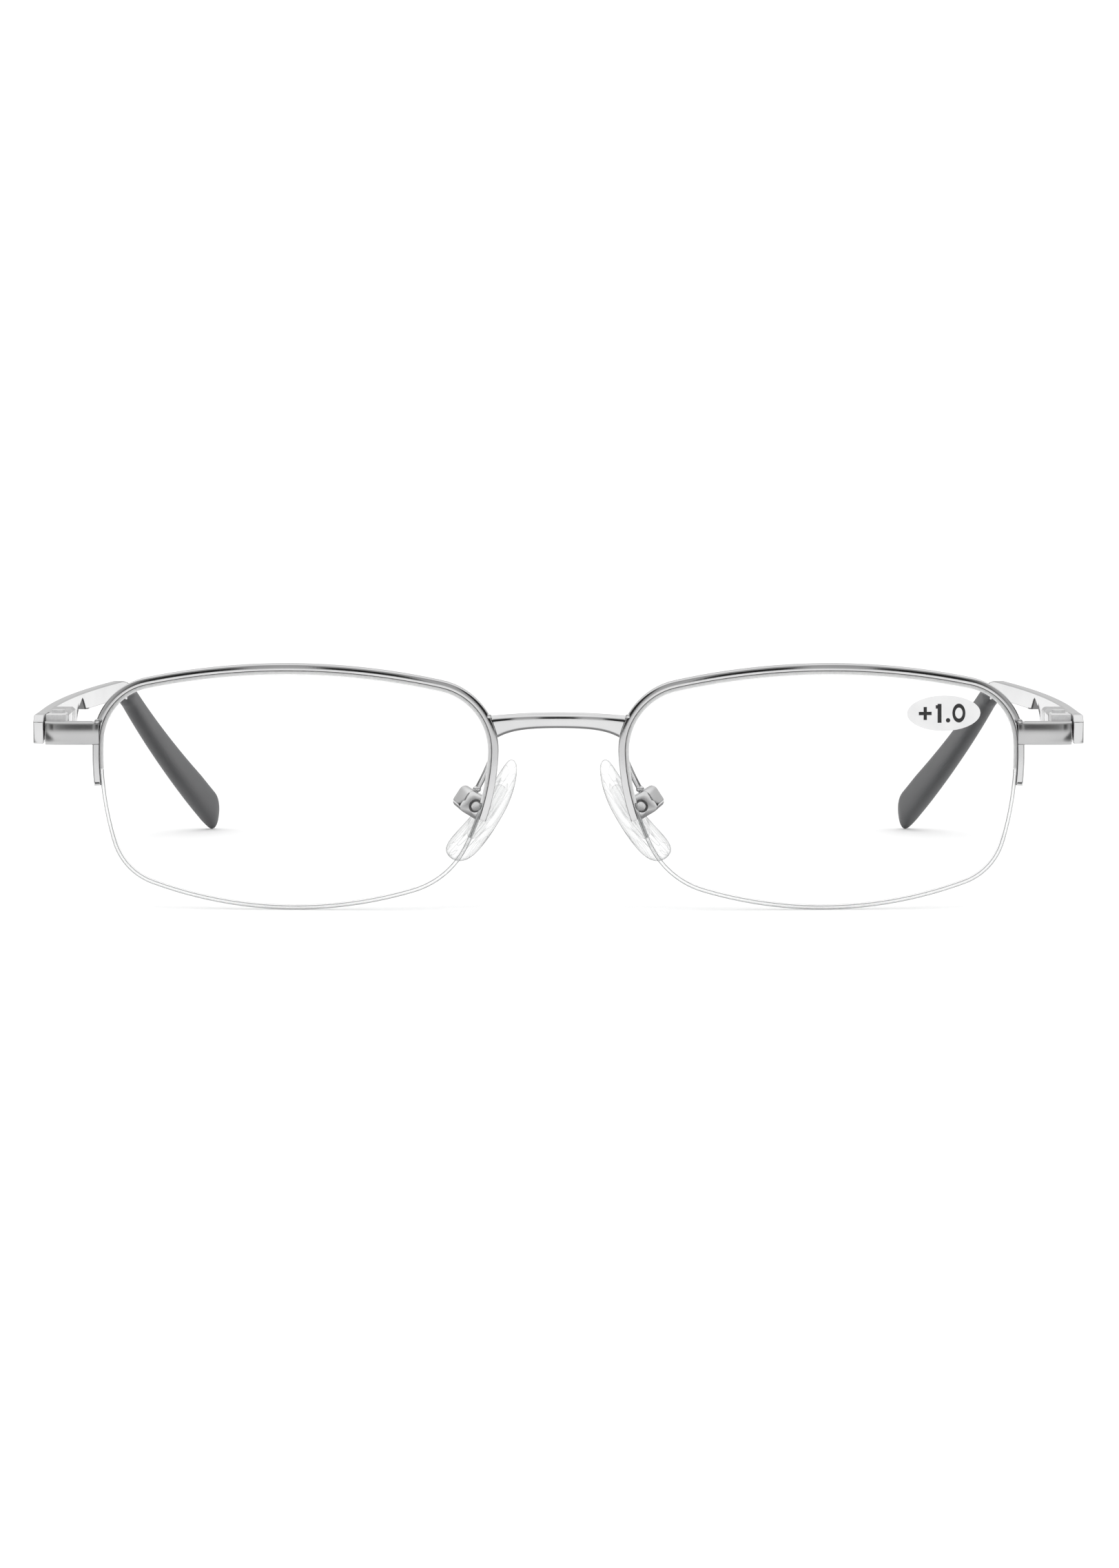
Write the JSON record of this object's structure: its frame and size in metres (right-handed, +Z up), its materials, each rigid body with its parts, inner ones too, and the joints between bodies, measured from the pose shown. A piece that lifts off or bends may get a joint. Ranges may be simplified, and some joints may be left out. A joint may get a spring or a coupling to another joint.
{
  "type": "half rim reading glasses",
  "caption": "Half rim metal reading glasses with clear lenses held by a nylon cord, nose pads on wire arms, and spring hinged temples that fold and end in dark plastic tips.",
  "frame": {"origin": "on the ground that the open glasses stand on, at the middle of their width and depth", "axes": "+X to the right as seen from the front, +Y from the lenses to the temple tips, +Z up"},
  "size_m": [0.1344, 0.1413, 0.0314],
  "materials": {
    "polished_metal": "polished",
    "steel": "satin",
    "lens_plastic": "polished, clear",
    "cord": "clear",
    "liner": "matt, white",
    "tip_plastic": "satin, dark grey",
    "pad_plastic": "clear, soft",
    "pad_core_plastic": "clear, hard",
    "sticker_film": "thin white film"
  },
  "bodies": {
    "front": {"bridge": "polished_metal", "power_sticker": "sticker_film", "left_rim": "polished_metal", "left_rim_liner": "liner", "left_lens": "lens_plastic", "left_nylon_cord": "cord", "left_endpiece": "polished_metal", "left_front_hinge": "polished_metal", "left_hinge_screw": "steel", "left_pad_arm": "polished_metal", "left_pad_box": "polished_metal", "left_pad_screw": "steel", "right_rim": "polished_metal", "right_rim_liner": "liner", "right_lens": "lens_plastic", "right_nylon_cord": "cord", "right_endpiece": "polished_metal", "right_front_hinge": "polished_metal", "right_hinge_screw": "steel", "right_pad_arm": "polished_metal", "right_pad_box": "polished_metal", "right_pad_screw": "steel"},
    "left_slider": {"left_hinge_slider": "steel", "left_slider_stop": "steel", "left_hinge_spring": "steel"},
    "left_temple": {"left_hinge_bushing": "steel", "left_spring_case": "polished_metal", "left_temple_bar": "polished_metal", "left_temple_tip": "tip_plastic"},
    "left_pad": {"left_pad_core": "pad_core_plastic", "left_nose_pad": "pad_plastic"},
    "right_slider": {"right_hinge_slider": "steel", "right_slider_stop": "steel", "right_hinge_spring": "steel"},
    "right_temple": {"right_hinge_bushing": "steel", "right_spring_case": "polished_metal", "right_temple_bar": "polished_metal", "right_temple_tip": "tip_plastic"},
    "right_pad": {"right_pad_core": "pad_core_plastic", "right_nose_pad": "pad_plastic"}
  },
  "joints": [
    {"name": "right_fold", "type": "hinge", "parent": "front", "child": "right_slider", "pos_m": [0.0644, -0.06001, 0.023], "axis": [0, 0, 1], "range_deg": [-8, 85]},
    {"name": "right_spring_slide", "type": "slide", "parent": "right_slider", "child": "right_temple", "axis": [0, 1, 0], "range_m": [0, 0.001], "stiffness_N_per_m": 3000, "deforming": ["right_hinge_spring"]},
    {"name": "right_pad_rock", "type": "hinge", "parent": "front", "child": "right_pad", "pos_m": [0.01115, -0.06211, 0.0132], "axis": [0.3544, 0.9063, 0.2302], "range_deg": [-8, 8]},
    {"name": "left_fold", "type": "hinge", "parent": "front", "child": "left_slider", "pos_m": [-0.0644, -0.06001, 0.023], "axis": [0, 0, -1], "range_deg": [-8, 82]},
    {"name": "left_spring_slide", "type": "slide", "parent": "left_slider", "child": "left_temple", "axis": [0, 1, 0], "range_m": [0, 0.001], "stiffness_N_per_m": 3000, "deforming": ["left_hinge_spring"]},
    {"name": "left_pad_rock", "type": "hinge", "parent": "front", "child": "left_pad", "pos_m": [-0.01115, -0.06211, 0.0132], "axis": [-0.3544, 0.9063, 0.2302], "range_deg": [-8, 8]}
  ]
}
